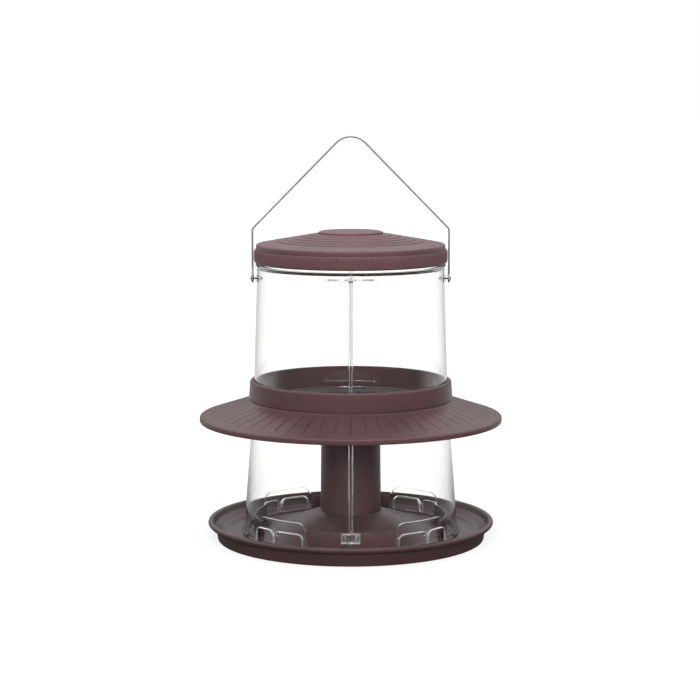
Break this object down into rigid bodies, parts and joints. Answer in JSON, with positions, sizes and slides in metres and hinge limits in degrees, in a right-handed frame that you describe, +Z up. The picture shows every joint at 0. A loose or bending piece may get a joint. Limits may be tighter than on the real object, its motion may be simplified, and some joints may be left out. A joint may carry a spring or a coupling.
{
  "type": "bird feeder",
  "caption": "Hanging or pole-mounted seed feeder: clear two-part hopper over a round tray, conical weather baffle, screw-on stepped lid and a swinging wire bail.",
  "frame": {"origin": "middle of the tray's underside, on the surface it stands on", "axes": "+Z up through the hopper and lid; X along the bail's pivot axis; the hopper's seams face -Y (front) and +Y (back)"},
  "size_m": [0.33, 0.33, 0.4405],
  "materials": {
    "brown_plastic": "satin moulded, dark reddish brown",
    "clear_plastic": "clear, polished",
    "wire_steel": "bright drawn wire",
    "pin_steel": "plain steel"
  },
  "bodies": {
    "feeder": {"tray": "brown_plastic", "pole_column": "brown_plastic", "column_screws": "pin_steel", "hopper_left": "clear_plastic", "hopper_right": "clear_plastic", "seam_clips": "clear_plastic", "baffle": "brown_plastic", "bail_pins": "pin_steel"},
    "cap": {"lid_cap": "brown_plastic"},
    "ring": {"lid_ring": "brown_plastic"},
    "bail": {"bail": "wire_steel"}
  },
  "joints": [
    {"name": "lid_lift", "type": "slide", "parent": "feeder", "child": "cap", "axis": [0, 0, 1], "range_m": [0, 0.012]},
    {"name": "ring_turn", "type": "hinge", "parent": "cap", "child": "ring", "pos_m": [0, 0, 0.315], "axis": [0, 0, 1], "range_deg": [0, 360]},
    {"name": "bail_swing", "type": "hinge", "parent": "feeder", "child": "bail", "pos_m": [0, 0, 0.286], "axis": [1, 0, 0], "range_deg": [-118, 118]}
  ],
  "couplings": [
    {"joint": "lid_lift", "follows": "ring_turn", "m_per_rad": 0.0019098}
  ]
}
